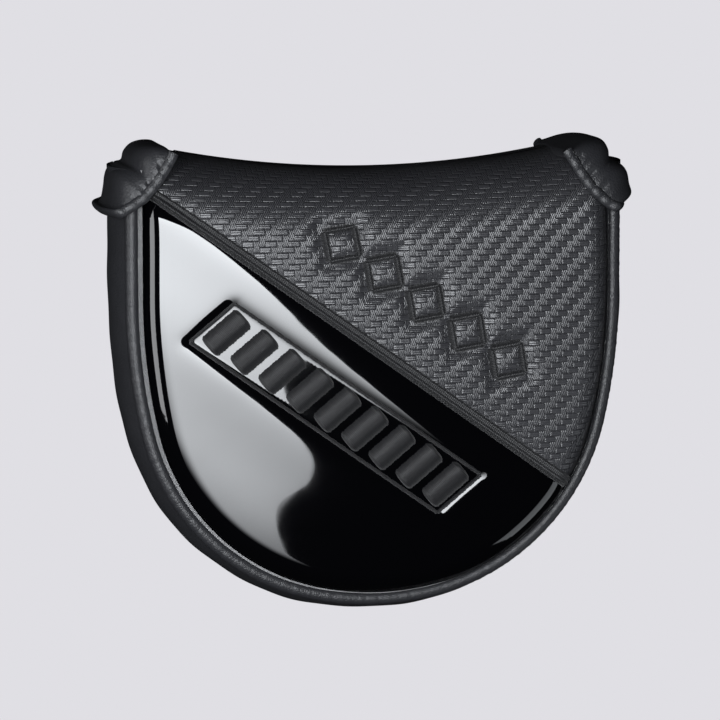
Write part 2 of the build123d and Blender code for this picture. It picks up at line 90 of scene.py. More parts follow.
SIDE_START_Y = 21.4
SIDE_RADIUS, SIDE_SPAN = 153.0, math.radians(12.8)
CORNER_RADIUS, CORNER_END = 60.4, math.radians(77.5)
SIDE_CENTRE = np.array((HALF_WIDTH - SIDE_RADIUS, SIDE_START_Y))
SIDE_FOOT = SIDE_CENTRE + SIDE_RADIUS * np.array((math.cos(SIDE_SPAN), -math.sin(SIDE_SPAN)))
CORNER_CENTRE = SIDE_FOOT - CORNER_RADIUS * np.array((math.cos(SIDE_SPAN), -math.sin(SIDE_SPAN)))
CORNER_FOOT = CORNER_CENTRE + CORNER_RADIUS * np.array((math.cos(CORNER_END), -math.sin(CORNER_END)))
BOTTOM_RADIUS = CORNER_FOOT[0] / math.cos(CORNER_END)
BOTTOM_CENTRE = np.array((0.0, CORNER_FOOT[1] + BOTTOM_RADIUS * math.sin(CORNER_END)))

RIM_RADIUS, RIM_SKIRT = 6.0, 1.2
SEAM_POINT, SEAM_ANGLE = np.array((-2.0, 9.8)), math.radians(-35.5)
SEAM_ALONG = np.array((math.cos(SEAM_ANGLE), math.sin(SEAM_ANGLE)))
SEAM_ACROSS = np.array((-SEAM_ALONG[1], SEAM_ALONG[0]))
SEAM_WIDTH = 2.7
SEAM_DIP, SEAM_DIP_REACH = 0.9, 1.7  # how deep stitching pulls the padding in, and how far that reaches
DIAMOND_DIP, BAR_DIP, DIP_REACH = 1.15, 0.6, 1.9

UPPER_OFFSET, UPPER_SHIFT = 16.3, 4.8
DIAMOND_COUNT, DIAMOND_WIDTH, DIAMOND_HEIGHT = 5, 13.0, 12.5
LOWER_OFFSET, LOWER_SHIFT = -18.2, 1.7
BAR_COUNT, BAR_PITCH, BAR_WIDTH, BAR_HEIGHT, BAR_SLANT = 9, 8.5, 6.1, 11.5, 3.0

EAR_TOP, EAR_FOOT, HEM_RADIUS = np.array((49.5, 57.0)), np.array((65.6, 42.3)), 37.0
HEM_CHORD = float(np.linalg.norm(EAR_FOOT - EAR_TOP))
HEM_LINE = (EAR_FOOT - EAR_TOP) / HEM_CHORD
HEM_OUT = np.array((-HEM_LINE[1], HEM_LINE[0]))
HEM_CENTRE = (EAR_TOP + EAR_FOOT) / 2 + math.sqrt(HEM_RADIUS**2 - HEM_CHORD**2 / 4) * HEM_OUT
HEM_START = math.atan2(EAR_TOP[1] - HEM_CENTRE[1], EAR_TOP[0] - HEM_CENTRE[0])
HEM_SPAN = 2 * math.asin(HEM_CHORD / 2 / HEM_RADIUS)


# ---------------------------------------------------------------- outlines and surfaces
def outline_inset(x, y):
    """How far a point is inside the cover's widest outline."""
    ax = np.abs(x)
    result = HALF_WIDTH - ax
    below = y < SIDE_START_Y
    for centre, radius, turned in (
        (SIDE_CENTRE, SIDE_RADIUS, 0.0),
        (CORNER_CENTRE, CORNER_RADIUS, SIDE_SPAN),
        (BOTTOM_CENTRE, BOTTOM_RADIUS, CORNER_END),
    ):
        away_x, away_y = ax - centre[0], y - centre[1]
        here = below & (np.arctan2(-away_y, away_x) >= turned)
        result = np.where(here, radius - np.hypot(away_x, away_y), result)
    return result


def u_path(inset, step, top_y):
    """Points and outward normals of the U-shaped run drawn in by inset, from the right leg to the left."""
    points, normals = [], []
    legs = max(2, int((top_y - SIDE_START_Y) / step))
    for y in np.linspace(top_y, SIDE_START_Y, legs, endpoint=False):
        points.append((HALF_WIDTH - inset, y))
        normals.append((1.0, 0.0))
    arcs = (
        (SIDE_CENTRE, SIDE_RADIUS, 0.0, SIDE_SPAN),
        (CORNER_CENTRE, CORNER_RADIUS, SIDE_SPAN, CORNER_END),
        (BOTTOM_CENTRE, BOTTOM_RADIUS, CORNER_END, math.pi / 2),
    )
    for centre, radius, start, end in arcs:
        reach = radius - inset
        count = max(2, int(reach * (end - start) / step))
        for turn in np.linspace(start, end, count, endpoint=False):
            normal = (math.cos(turn), -math.sin(turn))
            points.append((centre[0] + reach * normal[0], centre[1] + reach * normal[1]))
            normals.append(normal)
    points, normals = np.array(points), np.array(normals)
    foot = np.array([[0.0, BOTTOM_CENTRE[1] - BOTTOM_RADIUS + inset]])
    flip = np.array((-1.0, 1.0))
    all_points = np.vstack([points, foot, points[::-1] * flip])
    all_normals = np.vstack([normals, [[0.0, -1.0]], normals[::-1] * flip])
    return all_points, all_normals


def saddle(x):
    """How much further out the mouth's edge is at x than on the centre line."""
    return SADDLE_RADIUS - np.sqrt(SADDLE_RADIUS**2 - np.minimum(np.abs(x), 90.0) ** 2)


def dome_z(x, y):
    """Height of the domed front."""
    return DEPTH - (x**2 + y**2) / (2 * DOME_RADIUS)


def roll(x):
    """The front roll at x: its centre's y and z, and the y and the slope where it leaves the dome."""
    centre_y = NOSE_Y + saddle(x) - ROLL_FRONT
    slope = np.arctan(centre_y / DOME_RADIUS)
    for _ in range(3):
        start_y = centre_y + ROLL_FRONT * np.sin(slope)
        slope = np.arctan(start_y / DOME_RADIUS)
    centre_z = dome_z(x, start_y) - ROLL_FRONT * np.cos(slope)
    return centre_y, centre_z, start_y, slope


def rim_drop(x, y):
    """How far the front falls away towards its piped edge."""
    inside = outline_inset(x, y) - PANEL_INSET
    curl = np.clip(RIM_RADIUS - inside, 0, RIM_RADIUS * 0.999)
    round_part = RIM_RADIUS - np.sqrt(RIM_RADIUS**2 - curl**2)
    return round_part + RIM_SKIRT * np.clip(1 - inside / 0.05, 0, 1)


def bare_surface(x, v):
    """Point of the smooth front and flap at x and v."""
    centre_y, centre_z, start_y, slope = roll(x)
    arc = ROLL_FRONT * (math.pi / 2 - slope)
    drop = np.maximum(centre_z - ROLL_BACK, 0)
    quarter = ROLL_BACK * math.pi / 2
    past = v - start_y
    y = np.where(past < 0, v, 0.0)
    z = np.where(past < 0, dome_z(x, v) - rim_drop(x, v), 0.0)
    turn = slope + np.clip(past, 0, arc) / ROLL_FRONT
    on_front = (past >= 0) & (past < arc)
    y = np.where(on_front, centre_y + ROLL_FRONT * np.sin(turn), y)
    z = np.where(on_front, centre_z + ROLL_FRONT * np.cos(turn) - rim_drop(x, start_y), z)
    down = past - arc
    on_wall = (down >= 0) & (down < drop)
    y = np.where(on_wall, centre_y + ROLL_FRONT, y)
    z = np.where(on_wall, centre_z - down, z)
    under = down - drop
    back_y = centre_y + ROLL_FRONT - ROLL_BACK
    on_back = (under >= 0) & (under < quarter)
    turn = np.clip(under, 0, quarter) / ROLL_BACK
    y = np.where(on_back, back_y + ROLL_BACK * np.cos(turn), y)
    z = np.where(on_back, ROLL_BACK - ROLL_BACK * np.sin(turn), z)
    flat = under - quarter
    on_flat = flat >= 0
    y = np.where(on_flat, back_y - flat, y)
    z = np.where(on_flat, 0.0, z)
    return np.stack([x, y, z], axis=-1)


def surface_normal(x, v):
    """Outward unit normal of the smooth front and flap."""
    step = 0.05
    across = bare_surface(x + step, v) - bare_surface(x - step, v)
    along = bare_surface(x, v + step) - bare_surface(x, v - step)
    normal = np.cross(across, along)
    return normal / np.maximum(np.linalg.norm(normal, axis=-1, keepdims=True), 1e-9)


def v_of_back(x, y):
    """The v at which the flap's flat back reaches y."""
    centre_y, centre_z, start_y, slope = roll(x)
    arc = ROLL_FRONT * (math.pi / 2 - slope)
    drop = np.maximum(centre_z - ROLL_BACK, 0)
    return start_y + arc + drop + ROLL_BACK * math.pi / 2 + (centre_y + ROLL_FRONT - ROLL_BACK - y)


def v_of_wall(x, share):
    """The v at a share of the way down the upright stretch behind the mouth."""
    _, centre_z, start_y, slope = roll(x)
    arc = ROLL_FRONT * (math.pi / 2 - slope)
    return start_y + arc + share * np.maximum(centre_z - ROLL_BACK, 0)


def seam_coords(x, y):
    """Distance along and above the diagonal seam."""
    away = np.stack([x - SEAM_POINT[0], y - SEAM_POINT[1]], axis=-1)
    return away @ SEAM_ALONG, away @ SEAM_ACROSS


def seam_place(along, above):
    """The point of the front at a distance along and above the diagonal seam."""
    return (
        SEAM_POINT[0] + along * SEAM_ALONG[0] + above * SEAM_ACROSS[0],
        SEAM_POINT[1] + along * SEAM_ALONG[1] + above * SEAM_ACROSS[1],
    )


def diamond_distance(along, above):
    """Distance from the nearest line of the upper motif's diamonds."""
    a = along - UPPER_SHIFT
    span = DIAMOND_COUNT * DIAMOND_WIDTH / 2
    inside = np.clip(a, -span, span)
    local = np.abs(np.mod(inside + span, DIAMOND_WIDTH) - DIAMOND_WIDTH / 2)
    edge = local / (DIAMOND_WIDTH / 2) + np.abs(above - UPPER_OFFSET) / (DIAMOND_HEIGHT / 2) - 1
    scale = 1 / math.hypot(2 / DIAMOND_WIDTH, 2 / DIAMOND_HEIGHT)
    return np.hypot(edge * scale, np.abs(a) - np.abs(inside))


def bars_distance(along, above):
    """Distance outside the lower motif's envelope, negative inside it."""
    b = above - LOWER_OFFSET
    a = along - LOWER_SHIFT - b * BAR_SLANT / BAR_HEIGHT
    half_length = BAR_COUNT * BAR_PITCH / 2 - 0.4
    over_a, over_b = np.abs(a) - half_length, np.abs(b) - BAR_HEIGHT / 2 - 0.6
    outside = np.hypot(np.maximum(over_a, 0), np.maximum(over_b, 0))
    return outside + np.minimum(np.maximum(over_a, over_b), 0)


def quilting(x, v):
    """How far the stitching pulls the padded front in."""
    along, above = seam_coords(x, v)
    pull = SEAM_DIP * np.exp(-np.abs(above) / SEAM_DIP_REACH)
    pull += DIAMOND_DIP * np.exp(-((diamond_distance(along, above) / DIP_REACH) ** 2))
    outside = np.maximum(bars_distance(along, above), 0)
    pull += BAR_DIP * np.exp(-((outside / DIP_REACH) ** 1.5))
    return np.where(v < FOLD_Y + 6, pull, 0)


def puff(x, v):
    """Soft irregular swelling of the padding."""
    return 0.16 * np.sin(x / 13.0 + 0.6) * np.cos(v / 11.0 + 0.4) + 0.1 * np.sin((x + 1.3 * v) / 7.3)


def front_surface(x, v, lift=0.0):
    """Point of the quilted front and flap, raised by lift."""
    x, v = np.asarray(x, float), np.asarray(v, float)
    height = lift + puff(x, v) - quilting(x, v)
    return bare_surface(x, v) + surface_normal(x, v) * np.asarray(height)[..., None]


# ---------------------------------------------------------------- meshes
def make_mesh(name, verts, faces, material, attribute=None):
    """A smooth mesh object from millimetre points and faces."""
    mesh = bpy.data.meshes.new(name)
    mesh.from_pydata((np.asarray(verts, float) * MM).tolist(), [], [list(f) for f in faces])
    mesh.polygons.foreach_set("use_smooth", [True] * len(mesh.polygons))
    if attribute is not None:
        layer = mesh.attributes.new("fabric", "FLOAT_VECTOR", "POINT")
        layer.data.foreach_set("vector", np.asarray(attribute, np.float32).ravel())
    mesh.materials.append(material)
    mesh.update()
    piece = bpy.data.objects.new(name, mesh)
    bpy.context.scene.collection.objects.link(piece)
    return piece


def grid_faces(rows, columns, start=0, close=False):
    """Quads of a grid of points, whose columns can close into a ring."""
    r, c = np.meshgrid(np.arange(rows - 1), np.arange(columns if close else columns - 1), indexing="ij")
    nxt = (c + 1) % columns
    quads = np.stack([r * columns + c, r * columns + nxt, (r + 1) * columns + nxt, (r + 1) * columns + c], -1)
    return (quads.reshape(-1, 4) + start).tolist()


def grid_piece(name, points, material, close=False, flip=False):
    """A mesh from a rows x columns x 3 array of points."""
    rows, columns = points.shape[:2]
    faces = grid_faces(rows, columns, close=close)
    if flip:
        faces = [f[::-1] for f in faces]
    return make_mesh(name, points.reshape(-1, 3), faces, material)


def sweep(path, normals, profile):
    """Points of a profile of (outward, z) pairs carried along a flat path."""
    profile = np.broadcast_to(profile, (len(path),) + np.asarray(profile).shape[-2:])
    out = profile[..., 0][..., None] * normals[:, None, :]
    xy = path[:, None, :] + out
    return np.concatenate([xy, profile[..., 1][..., None]], axis=-1)


def triangulate(boundaries, spacing, keep, extra=()):
    """Points and triangles of a plane region.

    boundaries are lines that edges must follow, and extra are lines of further points.
    keep(x, y, margin) says which points lie in the region by at least margin.
    """
    points, edges = [], []
    for line in boundaries:
        first = len(points)
        points.extend(map(tuple, line))
        edges.extend((first + i, first + i + 1) for i in range(len(line) - 1))
    border = np.array(points)
    low, high = border.min(0), border.max(0)
    row_step = spacing * math.sqrt(3) / 2
    rows = np.arange(low[1] + row_step / 2, high[1], row_step)
    columns = np.arange(low[0], high[0], spacing)
    gx, gy = np.meshgrid(columns, rows)
    gx = gx + (np.arange(len(rows)) % 2)[:, None] * spacing / 2
    inner = np.stack([gx.ravel(), gy.ravel()], -1)
    inner = inner[keep(inner[:, 0], inner[:, 1], spacing * 0.6)]
    more = [tuple(p) for line in extra for p in line]
    points = list(map(tuple, border)) + more + list(map(tuple, inner))
    result = geometry.delaunay_2d_cdt([Vector(p) for p in points], edges, [], 0, 1e-5, False)
    flat = np.array([tuple(p) for p in result[0]])
    faces = np.array(result[2])
    centres = flat[faces].mean(1)
    faces = faces[keep(centres[:, 0], centres[:, 1], 0.0)]
    used, packed = np.unique(faces, return_inverse=True)
    return flat[used], packed.reshape(-1, 3)


# ---------------------------------------------------------------- materials
class Nodes:
    """Small helper that builds one material's node tree."""

    def __init__(self, name, colour, roughness, **sockets):
        self.material = bpy.data.materials.new(name)
        self.material.use_nodes = True
        self.tree = self.material.node_tree
        self.shader = self.tree.nodes["Principled BSDF"]
        self.shader.inputs["Base Color"].default_value = (*colour, 1.0)
        self.shader.inputs["Roughness"].default_value = roughness
        for socket, value in sockets.items():
            self.shader.inputs[socket.replace("_", " ")].default_value = value

    def node(self, kind, **settings):
        """A new node with its settings."""
        node = self.tree.nodes.new(kind)
        for key, value in settings.items():
            setattr(node, key, value)
        return node

    def plug(self, value, socket):
        """Links an output, or sets a number."""
        if isinstance(value, bpy.types.NodeSocket):
            self.tree.links.new(value, socket)
        else:
            socket.default_value = value

    def math(self, operation, *values):
        """One Math node."""
        node = self.node("ShaderNodeMath", operation=operation)
        for value, socket in zip(values, node.inputs):
            self.plug(value, socket)
        return node.outputs[0]

    def place(self):
        """Object coordinates in millimetres."""
        coords = self.node("ShaderNodeTexCoord")
        scale = self.node("ShaderNodeVectorMath", operation="SCALE")
        self.plug(coords.outputs["Object"], scale.inputs[0])
        scale.inputs["Scale"].default_value = 1 / MM
        return scale.outputs[0]

    def noise(self, place, size, detail=2.0, rough=0.5):
        """Noise whose features are about that many millimetres."""
        node = self.node("ShaderNodeTexNoise")
        self.plug(place, node.inputs["Vector"])
        node.inputs["Scale"].default_value = 1 / size
        node.inputs["Detail"].default_value = detail
        node.inputs["Roughness"].default_value = rough
        return node.outputs["Fac"]

    def cells(self, place, size):
        """Distance from the edges of cells that are about that many millimetres."""
        node = self.node("ShaderNodeTexVoronoi", feature="DISTANCE_TO_EDGE")
        self.plug(place, node.inputs["Vector"])
        node.inputs["Scale"].default_value = 1 / size
        return node.outputs["Distance"]

    def between(self, factor, low, high):
        """A number from low to high by factor."""
        node = self.node("ShaderNodeMapRange")
        self.plug(factor, node.inputs["Value"])
        node.inputs["To Min"].default_value = low
        node.inputs["To Max"].default_value = high
        return node.outputs["Result"]

    def tint(self, factor, low, high):
        """A colour between two colours by factor, plugged into the shader."""
        node = self.node("ShaderNodeMix", data_type="RGBA")
        self.plug(factor, node.inputs["Factor"])
        node.inputs["A"].default_value = (*low, 1.0)
        node.inputs["B"].default_value = (*high, 1.0)
        self.plug(node.outputs["Result"], self.shader.inputs["Base Color"])

    def bump(self, height, depth):
        """Bump of a height field, whose full range is depth millimetres."""
        node = self.node("ShaderNodeBump")
        node.inputs["Strength"].default_value = 1.0
        node.inputs["Distance"].default_value = depth * MM
        self.plug(height, node.inputs["Height"])
        self.plug(node.outputs["Normal"], self.shader.inputs["Normal"])


def smooth_leather():
    """Soft black synthetic leather with a fine grain."""
    n = Nodes("smooth_leather", (0.02, 0.0205, 0.023), 0.4, Specular_IOR_Level=0.5)
    place = n.place()
    grain = n.cells(place, 0.75)
    creases = n.noise(place, 2.6, 4.0, 0.6)
    pores = n.noise(place, 0.35, 2.0)
    height = n.math("MULTIPLY", n.math("MINIMUM", grain, 0.25), 1.6)
    height = n.math("ADD", height, n.math("MULTIPLY", creases, 0.8))
    height = n.math("ADD", height, n.math("MULTIPLY", pores, 0.25))
    n.bump(height, 0.09)
    n.plug(n.between(n.noise(place, 9.0, 3.0), 0.34, 0.47), n.shader.inputs["Roughness"])
    n.tint(n.noise(place, 6.0, 4.0), (0.016, 0.0162, 0.0185), (0.025, 0.0253, 0.028))
    return n.material


def patent_leather():
    """Black patent: a thick clear gloss with the faintest waviness."""
    n = Nodes("patent_leather", (0.001, 0.001, 0.0014), 0.035, Specular_IOR_Level=0.6, Coat_Weight=0.6,
              Coat_Roughness=0.02)
    place = n.place()
    n.bump(n.noise(place, 14.0, 1.0), 0.06)
    n.plug(n.between(n.noise(place, 5.0, 5.0), 0.03, 0.06), n.shader.inputs["Roughness"])
    return n.material


def carbon_weave():
    """Black synthetic leather embossed with a 2 x 2 twill of ridged tiles."""
    tile, ridges = 1.45, 3.0  # millimetres across a tile, and ridges on it
    n = Nodes("carbon_weave_leather", (0.03, 0.03, 0.033), 0.3, Specular_IOR_Level=0.85)
    fabric = n.node("ShaderNodeAttribute", attribute_name="fabric")
    split = n.node("ShaderNodeSeparateXYZ")
    n.plug(fabric.outputs["Vector"], split.inputs[0])
    across = n.math("DIVIDE", split.outputs["X"], tile)
    up = n.math("DIVIDE", split.outputs["Y"], tile)
    column, row = n.math("FLOOR", across), n.math("FLOOR", up)
    fx, fy = n.math("SUBTRACT", across, column), n.math("SUBTRACT", up, row)
    phase = n.math("FLOORED_MODULO", n.math("SUBTRACT", column, row), 4.0)
    flat = n.math("LESS_THAN", phase, 1.5)

    def pillow(value, power):
        """A flat-topped swelling across a tile; a higher power is flatter."""
        centred = n.math("ABSOLUTE", n.math("MULTIPLY_ADD", value, 2.0, -1.0))
        return n.math("SUBTRACT", 1.0, n.math("POWER", centred, power))

    def ridge(value):
        """Fine ridges that run along a tile."""
        wave = n.math("COSINE", n.math("MULTIPLY", value, 2 * math.pi * ridges))
        return n.math("MULTIPLY_ADD", wave, -0.5, 0.5)

    flat_along = n.math("MULTIPLY", n.math("ADD", phase, fx), 0.5)
    flat_height = n.math("MULTIPLY", pillow(fy, 4.0), pillow(flat_along, 10.0))
    flat_height = n.math("ADD", flat_height, n.math("MULTIPLY", ridge(fy), 0.3))
    steep_along = n.math("MULTIPLY", n.math("ADD", n.math("SUBTRACT", 3.0, phase), fy), 0.5)
    lean = n.math("MULTIPLY_ADD", fy, 0.35, fx)
    steep_height = n.math("MULTIPLY", pillow(fx, 6.0), pillow(steep_along, 8.0))
    steep_height = n.math("MULTIPLY_ADD", steep_height, 0.6, n.math("MULTIPLY", ridge(lean), 0.55))
    picked = n.node("ShaderNodeMix", data_type="FLOAT")
    n.plug(flat, picked.inputs["Factor"])
    n.plug(steep_height, picked.inputs["A"])
    n.plug(flat_height, picked.inputs["B"])
    height = picked.outputs["Result"]
    place = n.place()
    height = n.math("ADD", height, n.math("MULTIPLY", n.noise(place, 0.5, 3.0), 0.35))
    n.bump(height, 0.14)
    worn = n.noise(place, 11.0, 4.0)
    # The colour follows the emboss height: painted shade darkens the weave's low gaps and hollows, and the
    # raised tiles are left lighter.
    n.tint(height, (0.01, 0.01, 0.0115), (0.032, 0.032, 0.0355))
    n.plug(n.between(worn, 0.29, 0.37), n.shader.inputs["Roughness"])
    return n.material


def thread():
    """Black rayon embroidery thread."""
    n = Nodes("embroidery_thread", (0.02, 0.02, 0.022), 0.42, Sheen_Weight=0.25, Sheen_Roughness=0.4)
    place = n.place()
    n.bump(n.noise(place, 0.16, 2.0), 0.05)
    n.tint(n.noise(place, 0.9, 3.0), (0.005, 0.005, 0.006), (0.013, 0.013, 0.014))
    return n.material


def plush():
    """Short brushed lining."""
    n = Nodes("plush_lining", (0.03, 0.03, 0.033), 0.9, Sheen_Weight=0.6, Sheen_Roughness=0.5)
    place = n.place()
    pile = n.noise(place, 0.5, 4.0, 0.7)
    n.bump(n.math("ADD", pile, n.noise(place, 3.0, 2.0)), 0.35)
    n.tint(pile, (0.02, 0.02, 0.023), (0.05, 0.05, 0.055))
    return n.material


LEATHER, PATENT, CARBON, THREAD, PLUSH = (
    smooth_leather(), patent_leather(), carbon_weave(), thread(), plush(),
)


def finish_piece(piece, body=None, replaced=()):
    """Gives a piece its body, and hides the CAD nodes that it stands for."""
    if body:
        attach(piece, body)
    if replaced:
        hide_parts(*replaced)
    return piece


HEM_SHIFT = {-1: np.array((2.4, 1.2)), 1: np.array((-1.6, 0.6))}  # from the CAD's hems, outwards and up


def hem_circle(x, y):
    """Distance from the nearer ear's hem, negative under the ear."""
    shift = np.where(np.asarray(x)[..., None] < 0, HEM_SHIFT[-1], HEM_SHIFT[1])
    centre = HEM_CENTRE + shift
    return np.hypot(np.abs(x) - centre[..., 0], y - centre[..., 1]) - HEM_RADIUS


# ---------------------------------------------------------------- front panels
ROLL_HALF_WIDTH = EAR_TOP[0] + 1.0  # the roll's ends lie inside the ears
HEM_TUCK = 2.2  # how far the panels run in under the hems
PANEL_SPACING = 0.62
BEND_BEFORE, BEND_AFTER = 7.0, 5.0  # stretches before and after the fold; the roll's separate middle starts BEND_BEFORE before it
SLIT_X = FLAP_HALF_WIDTH + 0.4  # the roll's separate middle piece ends here
WALL_SHARE = 0.35  # the front skin ends this far down the upright stretch
FLAP_SEAM = 8.0  # the flap's widest stretch reaches this far past its fold on the back
RIM_ROWS = (0.03, 0.08, 0.18, 0.35, 0.6, 1.0, 1.5, 2.1, 2.8)


def rim_lines():
    """The front's piped edge, and rows close inside it that carry its tight curl."""
    lines = []
    for inside in (0.0,) + RIM_ROWS:
        points, _ = u_path(PANEL_INSET + inside, 0.7 if inside < 1 else 0.9, 55.0)
        lines.append(points)
    return lines


def wall_v(x):
    """Where the front skin ends behind the mouth."""
    return v_of_wall(x, WALL_SHARE)


def panel(name, upper, moving=False):
    """The patent front, the carbon front, or the middle of the carbon front's roll as a piece of its own."""
    lines = rim_lines()
    edge = PANEL_INSET
    seam_line = np.stack(seam_place(np.arange(-75, 75, 0.7), 0.0), -1)
    inside_rim = RIM_ROWS[-1]

    def keep(x, v, margin):
        inset = outline_inset(x, v) - edge
        _, above = seam_coords(x, v)
        side = above > margin if upper else above < -margin
        clear = inset > (inside_rim + 0.3 if margin else 0.0)
        room = hem_circle(x, np.minimum(v, NOSE_Y + saddle(x))) > -HEM_TUCK + margin
        below_hem = (v < 58) | (np.abs(x) < ROLL_HALF_WIDTH - margin)
        end = v < wall_v(x) - margin
        sideways, onward = SLIT_X - np.abs(x), v - (FOLD_Y - BEND_BEFORE)
        in_roll = np.minimum(sideways, onward)
        part = in_roll > margin if moving else (in_roll < -margin) | (not upper)
        return side & clear & room & below_hem & end & part

    boundaries = [lines[0], seam_line]
    if upper:
        slit_v = np.arange(FOLD_Y - BEND_BEFORE, float(wall_v(np.array(SLIT_X))) + 0.7, 0.7)
        slit_x = np.linspace(-SLIT_X, SLIT_X, 138)
        boundaries.append(np.column_stack([slit_x, np.full_like(slit_x, FOLD_Y - BEND_BEFORE)]))
        for edge_x in (-SLIT_X, SLIT_X):
            boundaries.append(np.column_stack([np.full_like(slit_v, edge_x), slit_v]))
        xs = np.arange(-ROLL_HALF_WIDTH, ROLL_HALF_WIDTH + 0.1, 0.7)
        boundaries.append(np.stack([xs, wall_v(xs)], -1))
        vs = np.arange(56.0, float(wall_v(np.array(ROLL_HALF_WIDTH))) + 0.7, 0.7)
        for side in (-1, 1):
            boundaries.append(np.stack([np.full_like(vs, side * ROLL_HALF_WIDTH), vs], -1))
    turns = np.linspace(HEM_START - 0.1, HEM_START + HEM_SPAN + 0.1, 40)
    for side in (-1, 1):
        ring = np.stack([np.cos(turns), np.sin(turns)], -1)
        hem = HEM_CENTRE + HEM_SHIFT[side] + (HEM_RADIUS - HEM_TUCK) * ring
        boundaries.append(hem * (side, 1))
    flat, faces = triangulate(boundaries, PANEL_SPACING, keep, extra=lines[1:])
    x, v = flat[:, 0], flat[:, 1]
    points = front_surface(x, v)
    attribute = np.stack([x, v, np.zeros_like(x)], -1)
    return make_mesh(name, points, faces, CARBON if upper else PATENT, attribute=attribute)


patent = finish_piece(panel("patent_front", upper=False), "pouch", ["front_patent_panel", "front_foam"])
carbon = finish_piece(panel("carbon_front", upper=True), "pouch", ["front_carbon_panel"])
carbon_roll = finish_piece(panel("carbon_roll", upper=True, moving=True), None, ["flap_wall_foam"])
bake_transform(carbon_roll)


# ---------------------------------------------------------------- flap
def tab_outline(y, spread):
    """Half width of the flap's back at y, between its root and its rounded tab."""
    root = np.clip((y - BACK_FOLD_Y - 2) / 9.0, 0, 1)
    eased = root * root * (3 - 2 * root)
    half = TAB_HALF_WIDTH + (FLAP_HALF_WIDTH - TAB_HALF_WIDTH) * eased
    corner = 10.0
    into = np.clip(TAB_TIP_Y + corner - y, 0, corner)
    return half - spread - (corner - np.sqrt(np.maximum(corner**2 - into**2, 0)))


def flap_sheet(name, depth, first_share, material, flip):
    """One layer of the flap from behind the mouth to the tab's tip, depth inside its outer face."""
    across = np.linspace(-1, 1, 61)
    rows = []
    v_rows = np.concatenate([np.linspace(0, 1, 30), np.linspace(1, 2, 70)[1:]])
    for t in v_rows:
        if t <= 1:
            half = FLAP_HALF_WIDTH - depth * 0.3
            x = across * half
            low, high = v_of_wall(x, first_share), v_of_back(x, BACK_FOLD_Y + FLAP_SEAM)
            v = low + (high - low) * t
        else:
            y = BACK_FOLD_Y + FLAP_SEAM + (TAB_TIP_Y + depth * 0.3 - BACK_FOLD_Y - FLAP_SEAM) * (t - 1)
            x = across * tab_outline(np.array(y), depth * 0.3)
            v = v_of_back(x, y)
        rows.append(bare_surface(x, v) - surface_normal(x, v) * depth)
    return grid_piece(name, np.array(rows), material, flip=flip)


def tube(name, centres, thickness, width, across, material):
    """A flattened band along a line of points, whose width lies in the across direction."""
    along = np.gradient(centres, axis=0)
    along /= np.linalg.norm(along, axis=1, keepdims=True)
    side = np.cross(along, across)
    side /= np.maximum(np.linalg.norm(side, axis=1, keepdims=True), 1e-9)
    lift = np.cross(side, along)
    turns = np.linspace(0, 2 * math.pi, 14, endpoint=False)
    rings = (centres[:, None] + thickness / 2 * np.cos(turns)[None, :, None] * side[:, None]
             + width / 2 * np.sin(turns)[None, :, None] * lift[:, None])
    return grid_piece(name, rings, material, close=True)


# The skin of the flap's back, its lining and its turned edge
flap_skin = flap_sheet("flap_back_skin", 0.0, 0.3, LEATHER, flip=False)
finish_piece(flap_skin, None, ["flap_wall_skin", "flap_tab_skin", "flap_tab_foam", "tab_magnets"])
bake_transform(flap_skin)

flap_lining = flap_sheet("flap_back_lining", FLAP_THICKNESS, WALL_SHARE, PLUSH, flip=True)
finish_piece(flap_lining, None, ["flap_wall_lining", "flap_tab_lining"])
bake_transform(flap_lining)


def flap_rim():
    """The turned edge that runs down one side of the flap, round the tab and up the other side."""
    down = []
    for t in np.linspace(0, 1, 26, endpoint=False):
        x = np.array(FLAP_HALF_WIDTH)
        low, high = v_of_wall(x, WALL_SHARE), v_of_back(x, BACK_FOLD_Y + FLAP_SEAM)
        down.append((float(x), float(low + (high - low) * t)))
    for y in np.linspace(BACK_FOLD_Y + FLAP_SEAM, TAB_TIP_Y + 0.02, 90):
        x = tab_outline(np.array(y), 0.0)
        down.append((float(x), float(v_of_back(x, y))))
    tip_half, tip_v = down[-1]
    tip = [(x, tip_v) for x in np.linspace(tip_half, -tip_half, 20)[1:-1]]
    line = np.array(down + tip + [(-x, v) for x, v in down[::-1]])
    depths = FLAP_THICKNESS * np.array((0.0, 0.08, 0.25, 0.5, 0.75, 0.92, 1.0))
    outer, normal = bare_surface(line[:, 0], line[:, 1]), surface_normal(line[:, 0], line[:, 1])
    along = np.gradient(outer, axis=0)
    outward = np.cross(normal, along)
    outward /= np.maximum(np.linalg.norm(outward, axis=1, keepdims=True), 1e-9)
    bulge = 0.7 * np.sqrt(np.maximum(0, 1 - (2 * depths / FLAP_THICKNESS - 1) ** 2))
    rows = outer[:, None] - normal[:, None] * depths[None, :, None] + outward[:, None] * bulge[None, :, None]
    return grid_piece("flap_turned_edge", rows, LEATHER)


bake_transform(finish_piece(flap_rim()))


def roll_lining():
    """Lining under the front roll, with the roll's turned edges."""
    rows = []
    x = np.linspace(-FLAP_HALF_WIDTH, FLAP_HALF_WIDTH, 61)
    for t in np.linspace(0, 1, 50):
        v = FOLD_Y - 1 + (v_of_wall(x, WALL_SHARE) - FOLD_Y + 1) * t
        surface, normal = bare_surface(x, v), surface_normal(x, v)
        edges = surface - normal * 0.3
        rows.append(np.vstack([edges[:1], surface - normal * FLAP_THICKNESS, edges[-1:]]))
    return grid_piece("mouth_roll_lining", np.array(rows), PLUSH, flip=True)


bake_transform(finish_piece(roll_lining()))


